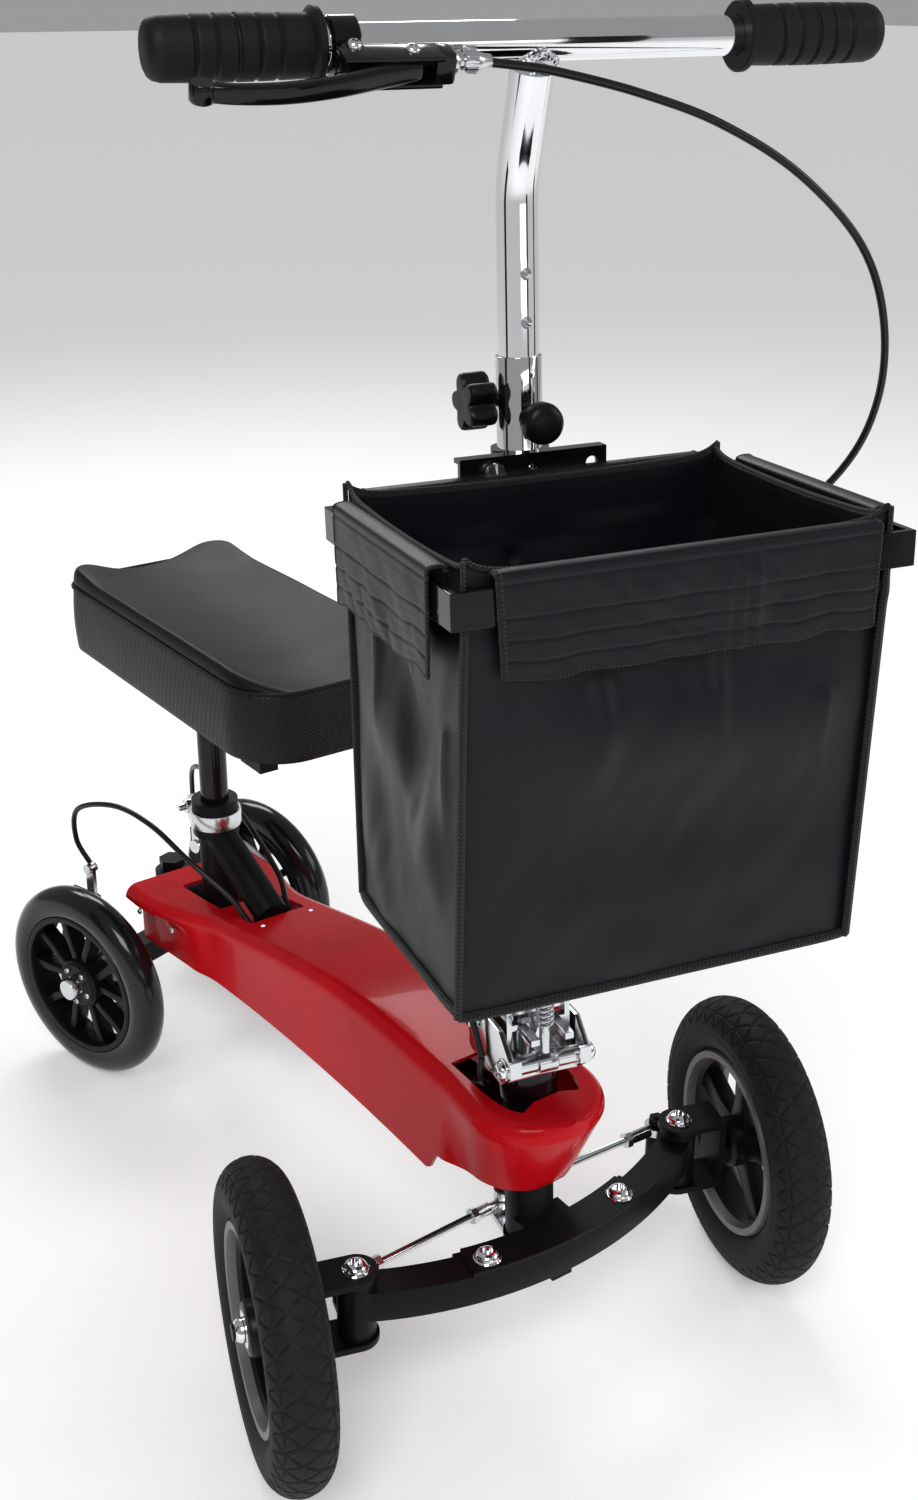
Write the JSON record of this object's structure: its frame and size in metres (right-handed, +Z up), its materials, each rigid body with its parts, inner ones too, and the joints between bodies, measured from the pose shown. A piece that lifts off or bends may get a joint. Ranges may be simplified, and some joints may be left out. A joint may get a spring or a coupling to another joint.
{
  "type": "knee scooter",
  "caption": "Steerable knee scooter with a folding tiller, handbrake, fabric basket, covered backbone, padded knee rest and turning rear axle",
  "frame": {"origin": "point on the floor where the raked steering axis meets it", "axes": "+Z up; -Y is the front of the scooter, so the knee pad lies towards +Y; +X is the rider's left side"},
  "size_m": [0.5142, 0.9357, 0.9569],
  "materials": {
    "satin_black": "satin black powder coat",
    "gloss_red": "gloss red moulding",
    "bright_zinc": "bright zinc plate",
    "chrome": "polished chrome",
    "grip_rubber": "ribbed moulded rubber",
    "tyre_rubber": "matt tread rubber",
    "smoked_urethane": "smoked clear urethane",
    "black_plastic": "moulded black nylon",
    "gloss_black": "gloss black paint",
    "bag_fabric": "woven nylon",
    "seat_vinyl": "smooth vinyl with woven sides",
    "cable_sheath": "extruded sheath"
  },
  "bodies": {
    "chassis": {"frame": "satin_black", "cover": "gloss_red", "cover_screws": "bright_zinc", "beam": "satin_black", "beam_bolts": "bright_zinc", "head_cups": "gloss_black", "kingpin_bolts": "bright_zinc", "seat_clamp": "bright_zinc", "clamp_bolt": "bright_zinc"},
    "tiller": {"steerer": "bright_zinc", "fold_base": "chrome", "cable_lower": "cable_sheath"},
    "column": {"column_tube": "chrome", "fold_top": "chrome", "basket_bracket": "gloss_black", "basket_bolt": "bright_zinc", "basket_frame": "gloss_black", "basket_bag": "bag_fabric", "cable_column": "cable_sheath"},
    "height_knob": {"star_knob": "black_plastic"},
    "height_pin": {"pull_pin": "black_plastic"},
    "latch": {"eye_bolt": "bright_zinc", "eye_spring": "bright_zinc", "eye_nut": "bright_zinc"},
    "stem": {"stem": "chrome", "handlebar": "chrome", "grips": "grip_rubber", "brake_perch": "gloss_black", "barrel_adjuster": "bright_zinc", "cable_upper": "cable_sheath"},
    "lever": {"brake_lever": "gloss_black"},
    "knuckle_left": {"knuckle_left": "satin_black"},
    "knuckle_right": {"knuckle_right": "satin_black"},
    "rod_left": {"tie_rod_left": "bright_zinc"},
    "rod_right": {"tie_rod_right": "bright_zinc"},
    "wheel_front_left": {"front_left_tyre": "tyre_rubber", "front_left_rim": "black_plastic", "front_left_trim": "bright_zinc"},
    "wheel_front_right": {"front_right_tyre": "tyre_rubber", "front_right_rim": "black_plastic", "front_right_trim": "bright_zinc"},
    "truck": {"rear_truck": "satin_black", "caliper_left": "black_plastic", "caliper_right": "black_plastic", "cable_left": "cable_sheath", "cable_right": "cable_sheath"},
    "wheel_rear_left": {"rear_left_tyre": "smoked_urethane", "rear_left_core": "black_plastic", "rear_left_rotor": "bright_zinc", "rear_left_trim": "bright_zinc"},
    "wheel_rear_right": {"rear_right_tyre": "smoked_urethane", "rear_right_core": "black_plastic", "rear_right_rotor": "bright_zinc", "rear_right_trim": "bright_zinc"},
    "arm_left": {"brake_arm_left": "bright_zinc"},
    "arm_right": {"brake_arm_right": "bright_zinc"},
    "seat": {"seat_post": "gloss_black", "seat_plate": "satin_black", "knee_pad": "seat_vinyl"}
  },
  "joints": [
    {"name": "steering", "type": "hinge", "parent": "chassis", "child": "tiller", "pos_m": [0, 0, 0], "axis": [0, 0.0523, 0.9986], "range_deg": [-3, 30], "deforming": ["cable_lower"]},
    {"name": "fold", "type": "hinge", "parent": "tiller", "child": "column", "pos_m": [0.00514, 0.03649, 0.28748], "axis": [-0.9724, 0.2331, -0.0122], "range_deg": [0, 40], "deforming": ["cable_column"]},
    {"name": "latch_swing", "type": "hinge", "parent": "tiller", "child": "latch", "pos_m": [-0.00724, -0.01561, 0.2782], "axis": [0.9724, -0.2331, 0.0122], "range_deg": [0, 75]},
    {"name": "height", "type": "slide", "parent": "column", "child": "stem", "axis": [0, 0.0523, 0.9986], "range_m": [-0.0849, 0.0566], "deforming": ["cable_upper"]},
    {"name": "height_knob_turn", "type": "hinge", "parent": "column", "child": "height_knob", "pos_m": [0, 0.03831, 0.731], "axis": [0.9724, -0.2331, 0.0122], "continuous": true},
    {"name": "height_pin_pull", "type": "slide", "parent": "column", "child": "height_pin", "axis": [-0.2334, -0.971, 0.0509], "range_m": [0, 0.006], "stiffness_N_per_m": 400},
    {"name": "lever_squeeze", "type": "hinge", "parent": "stem", "child": "lever", "pos_m": [-0.0944, 0.01503, 0.92407], "axis": [-0.0987, -0.3629, 0.9266], "range_deg": [-12, 0], "stiffness_Nm_per_rad": 1.2},
    {"name": "kingpin_left", "type": "hinge", "parent": "chassis", "child": "knuckle_left", "pos_m": [-0.15, 0.01, 0.1], "axis": [0, 0, 1], "range_deg": [-3.75, 37.5]},
    {"name": "kingpin_right", "type": "hinge", "parent": "chassis", "child": "knuckle_right", "pos_m": [0.15, 0.01, 0.1], "axis": [0, 0, 1], "range_deg": [-3.75, 37.5]},
    {"name": "rod_left_pin", "type": "hinge", "parent": "tiller", "child": "rod_left", "pos_m": [0.01109, 0.05136, 0.09745], "axis": [0, 0.0523, 0.9986], "range_deg": [-30, 3]},
    {"name": "rod_right_pin", "type": "hinge", "parent": "tiller", "child": "rod_right", "pos_m": [0.01109, 0.05136, 0.09745], "axis": [0, 0.0523, 0.9986], "range_deg": [-30, 3]},
    {"name": "front_left_spin", "type": "hinge", "parent": "knuckle_left", "child": "wheel_front_left", "pos_m": [-0.20742, 0.02742, 0.115], "axis": [0.9569, -0.2903, 0], "continuous": true},
    {"name": "front_right_spin", "type": "hinge", "parent": "knuckle_right", "child": "wheel_front_right", "pos_m": [0.20742, -0.00742, 0.115], "axis": [0.9569, -0.2903, 0], "continuous": true},
    {"name": "rear_axle_turn", "type": "hinge", "parent": "chassis", "child": "truck", "pos_m": [0, 0.585, 0.095], "axis": [0, 0, 1], "range_deg": [-39.99, 4], "deforming": ["cable_left", "cable_right"]},
    {"name": "rear_left_spin", "type": "hinge", "parent": "truck", "child": "wheel_rear_left", "pos_m": [-0.11223, 0.54854, 0.095], "axis": [0.9511, 0.3089, 0], "continuous": true},
    {"name": "rear_right_spin", "type": "hinge", "parent": "truck", "child": "wheel_rear_right", "pos_m": [0.11223, 0.62145, 0.095], "axis": [0.9511, 0.3089, 0], "continuous": true},
    {"name": "arm_left_pull", "type": "hinge", "parent": "truck", "child": "arm_left", "pos_m": [-0.08212, 0.59828, 0.148], "axis": [0.9511, 0.3089, 0], "range_deg": [0, 18]},
    {"name": "arm_right_pull", "type": "hinge", "parent": "truck", "child": "arm_right", "pos_m": [0.05864, 0.644, 0.148], "axis": [0.9511, 0.3089, 0], "range_deg": [0, 18]},
    {"name": "seat_height", "type": "slide", "parent": "chassis", "child": "seat", "axis": [0, 0, 1], "range_m": [-0.1, 0.06]}
  ],
  "couplings": [
    {"joint": "kingpin_left", "follows": "steering", "ratio": 1.25},
    {"joint": "kingpin_right", "follows": "steering", "ratio": 1.25},
    {"joint": "rod_left_pin", "follows": "steering", "ratio": -1},
    {"joint": "rod_right_pin", "follows": "steering", "ratio": -1},
    {"joint": "rear_axle_turn", "follows": "steering", "ratio": -1.333},
    {"joint": "arm_left_pull", "follows": "lever_squeeze", "ratio": -1.5},
    {"joint": "arm_right_pull", "follows": "lever_squeeze", "ratio": -1.5}
  ]
}
